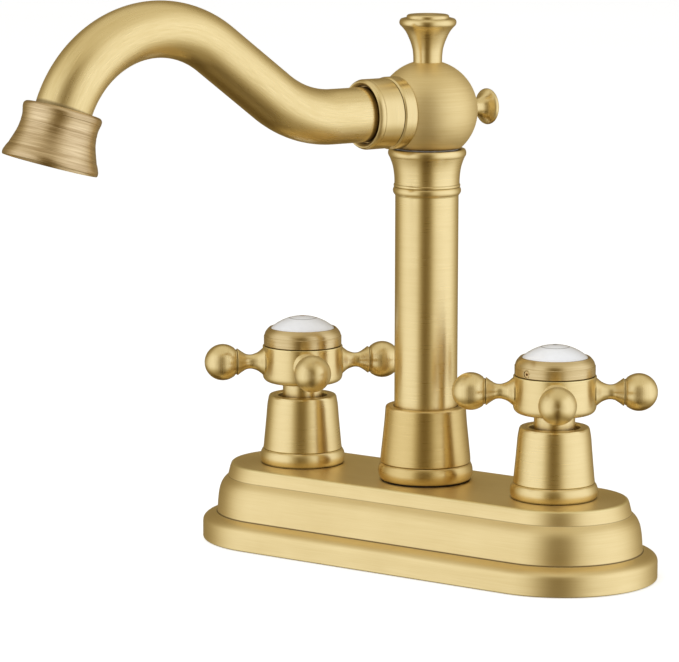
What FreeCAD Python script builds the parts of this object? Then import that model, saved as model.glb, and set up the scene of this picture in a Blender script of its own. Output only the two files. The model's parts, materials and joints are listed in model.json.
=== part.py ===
import FreeCAD, Part
import math
import os

# Two-handle deck-mounted basin mixer (4 inch centre-set) with a swivelling spout.
# Row frame, millimetres: +Z up, +X towards the cold handle, -Y towards the user,
# origin at the centre of the underside of the base.  Each physical piece is one
# solid in one STEP file; pieces of one body meet face to face, pieces of
# different bodies keep a running clearance.

V = FreeCAD.Vector

# ---------------------------------------------------------------- driving sizes
HANDLE_X = 50.8            # half of the 101.6 mm (4 inch) handle centres

# base (deck plate)
BASE_R = 32.15             # radius of the full-round ends of the base
BASE_CX = 53.0             # centres of those ends, +-X
BASE_H = 26.06             # top of the base
BASE_TOP_T = 3.5           # thickness of the base's top wall
BASE_LIP = 2.4             # width of the rim that surrounds the gasket
GASKET_T = 3.0             # thickness of the foam gasket plate

# valve bodies and centre tee
BODY_R = 13.0              # lower casting radius
NECK_R = 11.2              # threaded neck radius above the base
NECK_TOP = 36.0            # top of the threaded necks
NECK_HOLE_R = 11.6         # holes in the base's top wall
INLET_R = 4.46             # M10x1 internal thread, minor radius
INLET_L = 9.0              # depth of the inlet thread
STUD_R = 3.32              # M8 internal thread, minor radius
STUD_L = 10.0              # depth of the stud thread
STUD_DX = 10.5             # stud hole, outboard of the inlet
SEAT_Z = 14.0              # seat under the cartridge
CHAMBER_R = 8.33           # G3/8 cartridge thread / valve chamber radius
WATERWAY_Z = 17.2          # height of the cross waterway
WATERWAY_R = 3.2           # its bore
CROSS_OD_R = 5.0           # outside radius of the cross tubes

# handles
HUB_R = 13.55
HUB_BOTTOM = 53.9
HUB_TOP = 66.3             # seam with the cap ring
RING_R = 13.15
SPIGOT_TOP = 69.7          # hub spigot inside the cap ring, button seat
SPIGOT_R = 11.0
RECESS_R = 8.4
ARM_Z = 60.9               # height of the four arms
ARM_BALL_C = 27.2          # arm ball centre from the handle's axis
ARM_BALL_R = 6.15
ARM_STUB_R = 2.5
HOT_ARM_AZ = 43.5          # front arm, degrees from -Y towards +X
COLD_ARM_AZ = 34.7
HOT_SCREW_AZ = 178.5       # set screw of the cap ring
COLD_SCREW_AZ = -11.8
SET_SCREW_Z = 67.9
SET_SCREW_R = 1.1
STEM_R = 4.2               # spindle journal
STEM_BORE_R = 4.25         # its bore in the cartridge (0.05 running clearance)

# column
COL_R = 10.43
COL_ID_R = 9.2
COL_TUBE_TOP = 121.2
CAP_TOP = 136.5            # top of the capital
SWIVEL_R = 7.90            # rotating spigot
SWIVEL_BORE_R = 7.95       # fixed bore (0.05 running clearance)
RISER_R = 6.0

# spout
BALL_Z = 149.15
BALL_R = 16.5
BALL_FLAT = 136.9          # flat underside of the ball
SPOUT_HEADING = 20.0       # degrees from -Y towards -X at rest
SPOUT_Z0 = 149.15          # height of the spout's root axis
TUBE_R = 8.95
TUBE_ID_R = 7.75
T_START = 22.7             # tube starts inside the union nut
T1 = 37.95                 # end of the first straight run
R1 = 37.7                  # rising bend
A1 = 37.1                  # angle of the rise, degrees
L2 = 26.9                  # straight run on the rise
R2 = 35.8                  # crest bend
BETA = 17.0                # outlet leans this much forward of straight down
L3 = 15.6                  # run from the crest bend to the outlet's rim plane
TIP_LEN = 17.8             # outlet shell length

os.makedirs("parts", exist_ok=True)
PARTS = {}


def add(name, shape):
    if shape.ShapeType == "Compound" and len(shape.Solids) == 1:
        shape = shape.Solids[0]
    PARTS[name] = shape
    return shape


# ---------------------------------------------------------------- helpers
def lathe(profile, closed=True):
    """Solid of revolution about Z.  profile holds (r, z) corners; an entry
    ("arc", (r, z), (r, z)) bends through its first point to its second, and
    ("spl", [(r, z), ...]) runs a smooth curve through its points."""
    edges = []
    first = cur = None
    for p in profile:
        if isinstance(p[0], str):
            if p[0] == "arc":
                a, b = V(p[1][0], 0, p[1][1]), V(p[2][0], 0, p[2][1])
                edges.append(Part.Arc(cur, a, b).toShape())
                cur = b
            else:
                pts = [cur] + [V(q[0], 0, q[1]) for q in p[1]]
                c = Part.BSplineCurve()
                c.interpolate(pts)
                edges.append(c.toShape())
                cur = pts[-1]
        else:
            v = V(p[0], 0, p[1])
            if cur is None:
                first = v
            elif (v - cur).Length > 1e-6:
                edges.append(Part.LineSegment(cur, v).toShape())
            cur = v
    if (cur - first).Length > 1e-6:
        edges.append(Part.LineSegment(cur, first).toShape())
    face = Part.Face(Part.Wire(edges))
    s = face.revolve(V(0, 0, 0), V(0, 0, 1), 360)
    if s.Volume < 0:
        s.reverse()
    return s


def cyl(r, z0, z1, x=0.0, y=0.0):
    return Part.makeCylinder(r, z1 - z0, V(x, y, z0), V(0, 0, 1))


def tube(ro, ri, z0, z1, x=0.0, y=0.0):
    return cyl(ro, z0, z1, x, y).cut(cyl(ri, z0 - 1, z1 + 1, x, y))


def rod(p, d, r, l):
    return Part.makeCylinder(r, l, p, d)


def o_ring(major, minor, z, x=0.0, y=0.0):
    return Part.makeTorus(major, minor, V(x, y, z), V(0, 0, 1))


def hexagon(af, z0, z1, x=0.0, y=0.0, turn=0.0):
    r = af / math.sqrt(3.0)
    pts = [V(x + r * math.cos(math.radians(turn + 60 * i)),
             y + r * math.sin(math.radians(turn + 60 * i)), z0) for i in range(7)]
    pts[6] = pts[0]
    return Part.Face(Part.makePolygon(pts)).extrude(V(0, 0, z1 - z0))


def spline_bar(ro, ri, teeth, z0, z1):
    pts = []
    n = teeth * 4
    for i in range(n):
        r = ro if (i % 4) in (0, 1) else ri
        a = 2 * math.pi * i / n
        pts.append(V(r * math.cos(a), r * math.sin(a), z0))
    pts.append(pts[0])
    return Part.Face(Part.makePolygon(pts)).extrude(V(0, 0, z1 - z0))


def along(shape, origin, direction):
    """Move a shape built about +Z from the origin onto origin, along direction."""
    s = shape.copy()
    s.Placement = FreeCAD.Placement(origin, FreeCAD.Rotation(V(0, 0, 1), direction)).multiply(s.Placement)
    return s


def at_x(shape, x):
    s = shape.copy()
    s.translate(V(x, 0, 0))
    return s


def plan_dir(az):
    a = math.radians(az)
    return V(math.sin(a), -math.cos(a), 0)


def stadium(profile_pts, cx):
    """Closed (r, z) section carried round a stadium: two turned half ends and
    a straight middle.  The section starts and ends on r = 0."""
    def section(x):
        edges = []
        cur = None
        for p in profile_pts:
            if isinstance(p[0], str):
                if p[0] == "arc":
                    a, b = V(p[1][0], 0, p[1][1]), V(p[2][0], 0, p[2][1])
                    edges.append(Part.Arc(cur, a, b).toShape())
                    cur = b
                else:
                    pts = [cur] + [V(q[0], 0, q[1]) for q in p[1]]
                    c = Part.BSplineCurve()
                    c.interpolate(pts)
                    edges.append(c.toShape())
                    cur = pts[-1]
            else:
                v = V(p[0], 0, p[1])
                if cur is not None:
                    edges.append(Part.LineSegment(cur, v).toShape())
                cur = v
        z0 = profile_pts[0][1]
        edges.append(Part.LineSegment(cur, V(0, 0, z0)).toShape())
        return Part.Face(Part.Wire(edges))
    f = section(0)
    right = f.copy()
    right.rotate(V(0, 0, 0), V(0, 0, 1), -90)
    right.translate(V(cx, 0, 0))
    end_r = right.revolve(V(cx, 0, 0), V(0, 0, 1), 180)
    left = f.copy()
    left.rotate(V(0, 0, 0), V(0, 0, 1), 90)
    left.translate(V(-cx, 0, 0))
    end_l = left.revolve(V(-cx, 0, 0), V(0, 0, 1), 180)
    front = f.copy()
    front.rotate(V(0, 0, 0), V(0, 0, 1), -90)
    front.translate(V(-cx, 0, 0))
    mid_f = front.extrude(V(2 * cx, 0, 0))
    back = f.copy()
    back.rotate(V(0, 0, 0), V(0, 0, 1), 90)
    back.translate(V(-cx, 0, 0))
    mid_b = back.extrude(V(2 * cx, 0, 0))
    out = end_r
    for s in (mid_f, mid_b, end_l):
        if s.Volume < 0:
            s.reverse()
        out = out.fuse(s)
    out = out.removeSplitter()
    return out


def stadium_block(r, cx, z0, z1):
    s = cyl(r, z0, z1, cx).fuse(cyl(r, z0, z1, -cx))
    s = s.fuse(Part.makeBox(2 * cx, 2 * r, z1 - z0, V(-cx, -r, z0)))
    return s.removeSplitter()


# ---------------------------------------------------------------- base
base_section = [
    (0, 0), (BASE_R - 0.5, 0),
    ("arc", (BASE_R - 0.15, 0.15), (BASE_R, 0.5)),
    (BASE_R, 5.9),
    ("spl", [(31.85, 6.75), (31.25, 7.45), (30.2, 8.1), (29.0, 8.55), (27.9, 8.85)]),
    (27.4, 9.1),
    ("arc", (27.22, 9.4), (27.27, 9.75)),
    (27.05, 12.5),
    ("spl", [(26.85, 14.6), (26.6, 16.2), (26.3, 17.5), (25.85, 18.7), (25.2, 19.8), (24.5, 20.6)]),
    (23.6, 21.45), (23.25, 22.9),
    (22.6, 25.0),
    ("arc", (22.1, 25.8), (21.2, BASE_H)),
    (0, BASE_H),
]
deck = stadium(base_section, BASE_CX)
deck = deck.cut(stadium_block(BASE_R - BASE_LIP, BASE_CX, -1.0, GASKET_T))
deck = deck.cut(stadium_block(BASE_R - 3.6, BASE_CX, GASKET_T - 0.01, 7.0))
deck = deck.cut(stadium_block(BASE_R - 8.2, BASE_CX, 6.99, 16.5))
deck = deck.cut(stadium_block(BASE_R - 10.9, BASE_CX, 16.49, BASE_H - BASE_TOP_T))
for x in (-HANDLE_X, 0.0, HANDLE_X):
    deck = deck.cut(cyl(NECK_HOLE_R, 20, 30, x))
add("deck_plate", deck)

gasket = stadium_block(BASE_R - BASE_LIP, BASE_CX, 0.0, GASKET_T)
for s in (-1, 1):
    gasket = gasket.cut(cyl(9.0, -1, 5, s * HANDLE_X))
    gasket = gasket.cut(cyl(5.2, -1, 5, s * (HANDLE_X + STUD_DX)))
add("deck_gasket", gasket)

# ---------------------------------------------------------------- waterways
BODY_Z0 = GASKET_T
SHOULDER_Z = BASE_H - BASE_TOP_T


def valve_body(sign):
    x = sign * HANDLE_X
    s = cyl(BODY_R, BODY_Z0, SHOULDER_Z, x)
    s = s.fuse(cyl(6.4, BODY_Z0, 15.0, x + sign * STUD_DX))
    s = s.fuse(cyl(NECK_R, SHOULDER_Z, NECK_TOP, x))
    s = s.cut(cyl(INLET_R, BODY_Z0 - 1, BODY_Z0 + INLET_L, x))
    s = s.cut(cyl(3.3, BODY_Z0 + INLET_L - 0.01, SEAT_Z + 1, x))
    s = s.cut(cyl(CHAMBER_R, SEAT_Z, NECK_TOP + 1, x))
    s = s.cut(cyl(STUD_R, BODY_Z0 - 1, BODY_Z0 + STUD_L, x + sign * STUD_DX))
    # side port for the cross tube
    s = s.cut(rod(V(x - sign * 6.0, 0, WATERWAY_Z), V(-sign, 0, 0), WATERWAY_R, 9.0))
    s = s.cut(rod(V(x - sign * 10.0, 0, WATERWAY_Z), V(-sign, 0, 0), CROSS_OD_R, 9.0))
    return s.removeSplitter()


add("hot_valve_body", valve_body(-1))
add("cold_valve_body", valve_body(1))

tee = cyl(BODY_R, BODY_Z0, SHOULDER_Z).fuse(cyl(NECK_R, SHOULDER_Z, NECK_TOP))
tee = tee.cut(cyl(5.0, 12.0, 24.01))
tee = tee.cut(cyl(RISER_R, 24.0, NECK_TOP + 1))
for s in (-1, 1):
    tee = tee.cut(rod(V(s * 3.0, 0, WATERWAY_Z), V(s, 0, 0), WATERWAY_R, 12.0))
    tee = tee.cut(rod(V(s * 10.0, 0, WATERWAY_Z), V(s, 0, 0), CROSS_OD_R, 6.0))
add("centre_tee", tee.removeSplitter())

ct = []
for s in (-1, 1):
    a = rod(V(s * 10.0, 0, WATERWAY_Z), V(s, 0, 0), CROSS_OD_R, HANDLE_X - 20.0)
    a = a.cut(rod(V(s * 9.0, 0, WATERWAY_Z), V(s, 0, 0), WATERWAY_R, HANDLE_X - 18.0))
    ct.append(a)
add("cross_tubes", Part.makeCompound(ct))

# ---------------------------------------------------------------- bells
def handle_bell():
    outer = [
        (NECK_R, BASE_H), (13.6, BASE_H),
        ("arc", (14.35, 28.3), (13.75, 30.6)),
        (13.35, 31.0), (13.2, 31.4),
        ("spl", [(13.0, 34.3), (12.65, 38.0), (12.28, 42.0), (11.95, 46.0), (11.7, 47.6)]),
        ("arc", (11.4, 48.75), (10.4, 49.4)),
        (8.9, 49.4), ("arc", (8.5, 49.25), (8.35, 48.9)),
        (8.35, 46.8), (9.9, 46.8), (9.9, 36.6), (NECK_R, 36.2),
    ]
    return lathe(outer)


add("hot_bell", at_x(handle_bell(), -HANDLE_X))
add("cold_bell", at_x(handle_bell(), HANDLE_X))

add("column_gasket", tube(14.2, NECK_R, BASE_H, 26.5))
add("column_bell", lathe([
    (NECK_R, 26.5), (14.75, 26.5),
    ("arc", (15.73, 29.1), (15.2, 31.7)),
    (14.95, 32.0), (15.05, 32.4),
    ("spl", [(14.95, 34.0), (14.5, 38.0), (14.05, 42.0), (13.65, 46.0), (13.45, 48.9)]),
    ("arc", (13.2, 50.5), (12.15, 51.05)),
    (11.0, 51.05), ("arc", (10.7, 50.9), (10.55, 50.55)),
    (10.55, 48.5), (11.6, 48.5), (11.6, 36.5), (NECK_R, 36.2),
]))

# ---------------------------------------------------------------- column
add("column_tube", tube(COL_R, COL_ID_R, NECK_TOP, COL_TUBE_TOP))
cap = lathe([
    (COL_ID_R, COL_TUBE_TOP), (10.55, COL_TUBE_TOP),
    ("arc", (11.25, 123.2), (10.95, 124.9)),
    (10.75, 125.1), (10.75, 127.0),
    ("spl", [(10.87, 128.2), (11.13, 130.1), (11.68, 132.1), (12.47, 134.1)]),
    ("arc", (12.82, 135.3), (12.5, CAP_TOP)),
    (SWIVEL_BORE_R, CAP_TOP), (SWIVEL_BORE_R, 124.9), (COL_ID_R, 124.9),
])
GRUB_Z = 130.0
cap = cap.cut(rod(V(0, 7.0, GRUB_Z), V(0, 1, 0), 2.0, 8.0))
add("column_capital", cap)
grub = rod(V(0, SWIVEL_BORE_R, GRUB_Z), V(0, 1, 0), 2.0, 2.65)
grub = grub.fuse(rod(V(0, 7.02, GRUB_Z), V(0, 1, 0), 0.85, 1.0))
hexcut = hexagon(2.0, 0, 1.8)
grub = grub.cut(along(hexcut, V(0, SWIVEL_BORE_R + 2.65 - 1.5, GRUB_Z), V(0, 1, 0)))
add("swivel_grub_screw", grub)

add("swivel_housing", lathe([
    (RISER_R, 100.0), (COL_ID_R, 100.0), (COL_ID_R, 124.9), (SWIVEL_BORE_R, 124.9),
    (SWIVEL_BORE_R, 108.5), (4.6, 108.5), (4.6, 106.0), (RISER_R, 106.0),
]))
add("riser_tube", tube(RISER_R, 4.6, 24.0, 106.0))
add("swivel_washer", tube(11.2, 8.15, CAP_TOP, BALL_FLAT - 0.05))

# ---------------------------------------------------------------- cartridges
def cartridge_body():
    s = cyl(7.7, 15.5, 29.0).fuse(cyl(CHAMBER_R, 29.0, NECK_TOP))
    s = s.fuse(hexagon(16.0, NECK_TOP, 41.5)).fuse(cyl(6.4, 41.5, 45.2))
    s = s.cut(cyl(6.5, 15.0, 26.1)).cut(cyl(STEM_BORE_R, 26.0, 46.0))
    for a in (0, 180):
        d = V(math.cos(math.radians(a)), math.sin(math.radians(a)), 0)
        s = s.cut(rod(V(0, 0, 22.6), d, 2.0, 9.0))
    return s.removeSplitter()


def fixed_disc():
    s = cyl(6.5, 15.5, 18.5)
    for k in (-1, 1):
        s = s.cut(cyl(1.9, 15.0, 19.0, 0, k * 3.5))
    return s


def moving_disc():
    s = cyl(6.4, 18.55, 21.55)
    for k in (-1, 1):
        s = s.cut(cyl(1.9, 18.0, 22.0, k * 3.5, 0))
    s = s.cut(Part.makeBox(2.6, 8.0, 1.2, V(-1.3, -4.0, 20.35)))
    return s


def spindle():
    s = cyl(6.4, 21.55, 26.0).fuse(cyl(STEM_R, 26.0, 46.0))
    s = s.fuse(spline_bar(4.0, 3.6, 20, 46.0, 57.5))
    s = s.fuse(Part.makeBox(2.6, 8.0, 1.3, V(-1.3, -4.0, 20.35)))
    for z in (33.4, 38.4):
        s = s.cut(tube(5.0, 3.2, z, z + 1.2))
    s = s.cut(cyl(2.5, 45.0, 58.0))
    return s.removeSplitter()


def spindle_o_rings():
    return [o_ring(3.71, 0.5, 34.0), o_ring(3.71, 0.5, 39.0)]


SEAL = tube(7.9, 3.4, SEAT_Z, 15.5)

# ---------------------------------------------------------------- handle pieces
hub_profile = [
    (0, 46.5), (6.4, 46.5), (6.7, 46.8), (6.7, HUB_BOTTOM - 0.6),
    ("arc", (6.88, HUB_BOTTOM - 0.18), (7.3, HUB_BOTTOM)),
    (11.1, HUB_BOTTOM), ("arc", (12.85, HUB_BOTTOM + 0.65), (HUB_R, HUB_BOTTOM + 2.3)),
    (HUB_R, HUB_TOP - 0.2), (HUB_R - 0.2, HUB_TOP), (SPIGOT_R, HUB_TOP),
    (SPIGOT_R, SPIGOT_TOP), (RECESS_R, SPIGOT_TOP), (RECESS_R, 60.0), (0, 60.0),
]


def handle_hub(arm_az, screw_az):
    s = lathe(hub_profile)
    s = s.cut(spline_bar(4.0, 3.6, 20, 46.0, 57.5))
    s = s.cut(cyl(2.6, 57.0, 61.0))
    for k in range(4):
        d = plan_dir(arm_az + 90 * k)
        s = s.cut(rod(V(d.x * 7.0, d.y * 7.0, ARM_Z), d, ARM_STUB_R, 8.0))
    d = plan_dir(screw_az)
    s = s.cut(rod(V(d.x * 9.4, d.y * 9.4, SET_SCREW_Z), d, SET_SCREW_R, 4.0))
    return s


arm_profile = [
    (0, 9.2), (ARM_STUB_R - 0.3, 9.2), (ARM_STUB_R, 9.5), (ARM_STUB_R, 12.2), (4.75, 12.2), (4.75, 13.3),
    ("spl", [(4.1, 14.1), (3.3, 15.1), (2.75, 16.3), (2.42, 17.7), (2.6, 19.2), (3.2, 20.3), (3.8, 21.2), (4.4, 22.0)]),
    (4.5, 22.12), (4.5, 22.35), (4.05, 22.45), (4.05, 22.6), (4.3, 22.75), (4.3, 22.95),
    (4.6, ARM_BALL_C - math.sqrt(ARM_BALL_R ** 2 - 4.6 ** 2)),
    ("arc", (ARM_BALL_R, ARM_BALL_C), (0, ARM_BALL_C + ARM_BALL_R)),
]
arm_turned = lathe(arm_profile)


def arm(az):
    d = plan_dir(az)
    s = along(arm_turned, V(0, 0, ARM_Z), d)
    seat = tube(HUB_R, 9.6, HUB_BOTTOM, HUB_TOP).cut(along(cyl(ARM_STUB_R, 5.0, 20.0), V(0, 0, ARM_Z), d))
    return s.cut(seat)


def cap_ring(screw_az):
    s = lathe([
        (SPIGOT_R, HUB_TOP), (RING_R - 0.2, HUB_TOP), (RING_R, HUB_TOP + 0.25), (RING_R, 69.55),
        (13.0, 69.75), ("spl", [(12.75, 70.6), (12.2, 71.5), (11.6, 72.1)]),
        ("arc", (11.25, 72.36), (10.95, 72.35)),
        (10.8, 72.2), (10.8, SPIGOT_TOP), (SPIGOT_R, SPIGOT_TOP),
    ])
    d = plan_dir(screw_az)
    return s.cut(rod(V(d.x * 9.4, d.y * 9.4, SET_SCREW_Z), d, SET_SCREW_R, 6.0))


def index_button():
    rise, edge = 4.05, 10.75                 # domed face, a cap of one sphere
    rs = (edge ** 2 + rise ** 2) / (2 * rise)
    return lathe([
        (0, 67.6), (8.2, 67.6), (8.2, SPIGOT_TOP), (edge, SPIGOT_TOP), (edge, 72.25),
        ("arc", (5.5, 72.25 + rise - rs + math.sqrt(rs ** 2 - 5.5 ** 2)), (0, 72.25 + rise)),
    ])


def handle_screw():
    s = cyl(4.4, 60.0, 63.0).fuse(cyl(2.5, 48.0, 60.0))
    s = s.cut(Part.makeBox(6.4, 1.0, 1.4, V(-3.2, -0.5, 61.7)))
    s = s.cut(Part.makeBox(1.0, 6.4, 1.4, V(-0.5, -3.2, 61.7)))
    return s.removeSplitter()


def set_screw(az):
    d = plan_dir(az)
    s = rod(V(d.x * 9.4, d.y * 9.4, SET_SCREW_Z), d, SET_SCREW_R, 3.5)
    return s.cut(along(hexagon(0.9, 0, 2.0), V(d.x * 11.9, d.y * 11.9, SET_SCREW_Z), d))


for tag, x, aaz, saz in (("hot", -HANDLE_X, HOT_ARM_AZ, HOT_SCREW_AZ),
                         ("cold", HANDLE_X, COLD_ARM_AZ, COLD_SCREW_AZ)):
    add(tag + "_cartridge_body", at_x(cartridge_body(), x))
    add(tag + "_fixed_disc", at_x(fixed_disc(), x))
    add(tag + "_seat_seal", at_x(SEAL, x))
    add(tag + "_spindle", at_x(spindle(), x))
    add(tag + "_moving_disc", at_x(moving_disc(), x))
    add(tag + "_spindle_o_rings", at_x(Part.makeCompound(spindle_o_rings()), x))
    add(tag + "_handle_hub", at_x(handle_hub(aaz, saz), x))
    for k in range(4):
        add("%s_arm_%d" % (tag, k + 1), at_x(arm(aaz + 90 * k), x))
    add(tag + "_cap_ring", at_x(cap_ring(saz), x))
    add(tag + "_index_button", at_x(index_button(), x))
    add(tag + "_handle_screw", at_x(handle_screw(), x))
    add(tag + "_set_screw", at_x(set_screw(saz), x))

# ---------------------------------------------------------------- spout assembly
U = V(-math.sin(math.radians(SPOUT_HEADING)), -math.cos(math.radians(SPOUT_HEADING)), 0)
ROOT = V(0, 0, SPOUT_Z0)


def spout_at(shape):
    """Place a shape turned about Z (t along Z) on the spout's root axis."""
    return along(shape, ROOT, U)


def pt(t, z):
    return V(U.x * t, U.y * t, z)


ball = Part.makeSphere(BALL_R, V(0, 0, BALL_Z))
ball = ball.cut(cyl(30, 120, BALL_FLAT))
ball = ball.cut(cyl(4.9, 164.9, 170))                       # finial seat
ball = ball.cut(spout_at(cyl(11.85, 11.5, 20.0)))            # spout boss seat
ball = ball.cut(along(cyl(2.9, 16.2, 20.0), ROOT, V(-U.x, -U.y, 0)))  # knob seat
ball = ball.cut(cyl(7.2, 130, 144.0))
ball = ball.cut(cyl(6.0, 143.9, 151.0))
ball = ball.cut(spout_at(cyl(7.0, 0.0, 8.1)))
ball = ball.cut(Part.makeSphere(7.0, ROOT))
ball = ball.cut(spout_at(cyl(9.0, 8.0, 12.0)))
ball = ball.cut(cyl(2.5, 158.5, 166.0))
ball = ball.cut(along(cyl(2.0, 9.5, 17.0), ROOT, V(-U.x, -U.y, 0)))
add("spout_ball", ball)

spigot = lathe([
    (4.6, 109.0), (7.6, 109.0), (SWIVEL_R, 109.3), (SWIVEL_R, 112.9), (6.6, 112.9), (6.6, 114.5),
    (SWIVEL_R, 114.5), (SWIVEL_R, 117.9), (6.6, 117.9), (6.6, 119.5), (SWIVEL_R, 119.5),
    (SWIVEL_R, 128.95), (6.9, 128.95), (6.9, 131.05), (SWIVEL_R, 131.05), (SWIVEL_R, BALL_FLAT),
    (7.2, BALL_FLAT), (7.2, 144.0), (4.6, 144.0),
])
add("swivel_spigot", spigot)
add("swivel_o_rings", Part.makeCompound([o_ring(7.27, 0.66, 113.7), o_ring(7.27, 0.66, 118.7)]))

nipple = lathe([
    (TUBE_ID_R, 8.0), (9.0, 8.0), (9.0, 11.5), (11.65, 11.5), (11.8, 11.7), (11.8, 16.4), (11.65, 16.6),
    (10.2, 16.6), (10.2, 21.7), (TUBE_ID_R, 21.7),
])
add("spout_nipple", spout_at(nipple))
nut = lathe([
    (10.2, 16.6), (11.3, 16.6), (11.45, 16.8), (11.45, 24.3),
    ("arc", (11.15, 25.65), (10.5, 26.3)), (9.85, 26.3), ("arc", (9.65, 26.2), (9.6, 26.0)),
    (9.6, 24.5), (10.2, 24.5),
])
add("spout_union_nut", spout_at(nut))
add("spout_washer", spout_at(tube(10.15, TUBE_ID_R, 21.7, T_START)))

# tube path: run, rising bend, run, crest bend, run down to the outlet
a1 = math.radians(A1)
end = math.radians(-(90.0 - BETA))
p0 = (T_START, SPOUT_Z0)
p1 = (T1, SPOUT_Z0)
p2 = (T1 + R1 * math.sin(a1), SPOUT_Z0 + R1 * (1 - math.cos(a1)))
m1 = (T1 + R1 * math.sin(a1 / 2), SPOUT_Z0 + R1 * (1 - math.cos(a1 / 2)))
p3 = (p2[0] + L2 * math.cos(a1), p2[1] + L2 * math.sin(a1))
c2 = (p3[0] + R2 * math.sin(a1), p3[1] - R2 * math.cos(a1))
mid = (a1 + end) / 2
m2 = (c2[0] - R2 * math.sin(mid), c2[1] + R2 * math.cos(mid))
p4 = (c2[0] - R2 * math.sin(end), c2[1] + R2 * math.cos(end))
p5 = (p4[0] + L3 * math.cos(end), p4[1] + L3 * math.sin(end))        # centre of the rim plane
TUBE_IN = TIP_LEN - 3.6                                              # tube stops inside the shell
p5t = (p5[0] - TUBE_IN * math.cos(end), p5[1] - TUBE_IN * math.sin(end))
path = Part.Wire([
    Part.LineSegment(pt(*p0), pt(*p1)).toShape(),
    Part.Arc(pt(*p1), pt(*m1), pt(*p2)).toShape(),
    Part.LineSegment(pt(*p2), pt(*p3)).toShape(),
    Part.Arc(pt(*p3), pt(*m2), pt(*p4)).toShape(),
    Part.LineSegment(pt(*p4), pt(*p5t)).toShape(),
])


def pipe(r):
    circle = Part.Wire(Part.makeCircle(r, pt(*p0), U))
    s = path.makePipeShell([circle], True, False)
    return s if s.Volume > 0 else s.reversed()


stube = pipe(TUBE_R).cut(pipe(TUBE_ID_R))
stube = stube.fuse(spout_at(tube(10.15, TUBE_R, T_START, T_START + 1.75)))    # brazed collar held by the nut
add("spout_tube", stube.removeSplitter())

# outlet shell: turned about the outlet's axis; w runs from its upper rim down
OUT_DIR = V(U.x * math.cos(end), U.y * math.cos(end), math.sin(end))
OUT_RIM = pt(*p5)
OUT_TOP = OUT_RIM - OUT_DIR * TIP_LEN


def outlet_at(shape):
    return along(shape, OUT_TOP, OUT_DIR)


shell = lathe([
    (TUBE_R + 0.12, 0.0), (11.3, 0.0), ("arc", (12.2, 0.4), (12.5, 1.3)),
    ("spl", [(12.26, 2.9), (11.97, 4.3), (12.05, 5.9), (12.25, 8.1), (12.75, 10.0)]),
    ("spl", [(13.2, 11.3), (13.93, 13.4), (14.6, 14.9)]),
    ("arc", (15.22, 16.4), (15.15, TIP_LEN)),
    (13.95, TIP_LEN), (13.6, 16.2), (12.1, 12.2), (11.0, 11.7), (11.0, 3.6), (TUBE_R + 0.12, 3.6),
])
add("tip_shell", outlet_at(shell))
add("aerator_washer", outlet_at(tube(10.9, 8.0, 3.6, 5.2)))
add("aerator_housing", outlet_at(lathe([
    (7.6, 5.2), (11.0, 5.2), (11.0, 11.7), (11.6, 12.4), (9.9, 12.4), (9.9, 10.6), (7.6, 10.6),
])))
screen = cyl(9.9, 10.6, 11.6)
holes = []
for i in range(-4, 5):
    for j in range(-4, 5):
        hx = 2.0 * (i + 0.5 * (j % 2))
        hy = 1.75 * j
        if math.hypot(hx, hy) < 7.0:
            holes.append(cyl(0.62, 10.0, 12.0, hx, hy))
screen = screen.cut(Part.makeCompound(holes))
add("aerator_screen", outlet_at(screen))

add("finial", lathe([
    (0, 158.8), (2.5, 158.8), (2.5, 164.9), (4.7, 164.9), (4.75, 167.0),
    ("spl", [(4.97, 169.1), (5.35, 170.6), (5.8, 171.9), (6.35, 173.2), (6.97, 174.5), (7.75, 175.7), (8.55, 176.6), (8.95, 177.0)]),
    ("arc", (9.35, 178.1), (8.8, 179.35)),
    (7.5, 179.5), (7.2, 179.2), (7.0, 179.5), (6.8, 180.3), ("arc", (6.5, 180.5), (6.0, 180.55)),
    (0, 180.75),
]))
knob = lathe([
    (0, 9.9), (2.0, 9.9), (2.0, 16.2), (2.85, 16.2), (2.8, 19.5),
    ("spl", [(3.1, 20.6), (3.9, 21.95), (5.0, 22.9)]),
    ("arc", (5.95, 24.3), (5.1, 25.3)),
    (4.0, 25.45), (0, 25.6),
])
add("rear_knob", along(knob, ROOT, V(-U.x, -U.y, 0)))

# ---------------------------------------------------------------- write
for name, shape in PARTS.items():
    solids = shape.Solids
    if not shape.isValid() or not solids or min(s.Volume for s in solids) <= 0:
        raise SystemExit("bad shape: " + name)
    shape.exportStep("parts/%s.step" % name)
print(len(PARTS), "nodes, volume cm3 %.1f" % (sum(s.Volume for s in PARTS.values()) / 1000))
print("outlet rim centre", OUT_RIM, "crest top", c2[1] + R2 + TUBE_R)
print("tube volume %.0f expected %.0f" % (PARTS["spout_tube"].Volume,
      math.pi * (TUBE_R ** 2 - TUBE_ID_R ** 2) * path.Length + math.pi * (10.15 ** 2 - TUBE_R ** 2) * 1.75))
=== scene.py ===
import bpy
import bmesh
import json
import math
import numpy as np
from mathutils import Matrix, Vector


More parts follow.
